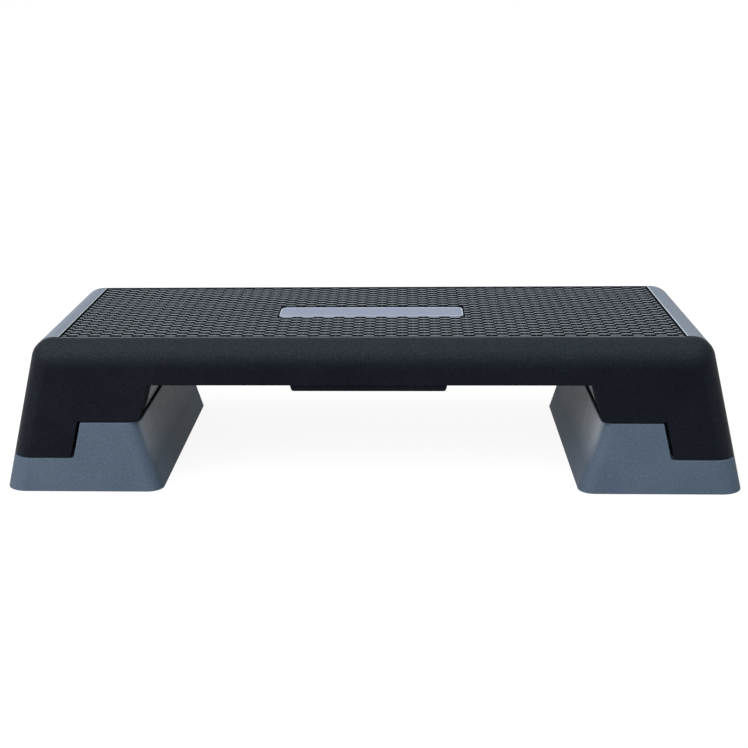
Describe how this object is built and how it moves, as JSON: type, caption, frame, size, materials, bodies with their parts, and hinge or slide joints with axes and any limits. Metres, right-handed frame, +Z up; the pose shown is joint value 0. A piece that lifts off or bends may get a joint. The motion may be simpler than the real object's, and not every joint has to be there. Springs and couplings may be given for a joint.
{
  "type": "aerobic step platform",
  "caption": "Long low exercise step with a ribbed rubber tread, a black moulded deck and stepped grey feet that nest under the deck's legs and pull off to change its height.",
  "frame": {"origin": "centre of the floor area covered by the platform, on the floor", "axes": "+X along the platform's length, to the right when facing the side with the carry grip; +Y from that side to the far side; +Z up"},
  "size_m": [0.9796, 0.3798, 0.2014],
  "materials": {
    "black_plastic": "fine moulded grain",
    "grey_plastic": "fine moulded grain",
    "tread_rubber": "matt, raised wavy ribs",
    "pad_rubber": "matt",
    "screw_steel": "zinc plated"
  },
  "bodies": {
    "deck": {"deck_shell": "black_plastic", "tread_mat": "tread_rubber", "name_plate": "grey_plastic", "left_end_trim": "grey_plastic", "right_end_trim": "grey_plastic", "carry_grip": "black_plastic", "grip_screws": "screw_steel", "left_front_deck_pad": "pad_rubber", "left_rear_deck_pad": "pad_rubber", "right_front_deck_pad": "pad_rubber", "right_rear_deck_pad": "pad_rubber"},
    "left_foot": {"left_foot": "grey_plastic", "left_foot_front_inner_pad": "pad_rubber", "left_foot_rear_inner_pad": "pad_rubber", "left_foot_front_outer_pad": "pad_rubber", "left_foot_rear_outer_pad": "pad_rubber"},
    "right_foot": {"right_foot": "grey_plastic", "right_foot_front_inner_pad": "pad_rubber", "right_foot_rear_inner_pad": "pad_rubber", "right_foot_front_outer_pad": "pad_rubber", "right_foot_rear_outer_pad": "pad_rubber"}
  },
  "joints": [
    {"name": "left_foot_pull_off", "type": "slide", "parent": "deck", "child": "left_foot", "axis": [0, 0, -1], "range_m": [0, 0.11]},
    {"name": "right_foot_pull_off", "type": "slide", "parent": "deck", "child": "right_foot", "axis": [0, 0, -1], "range_m": [0, 0.11]}
  ]
}
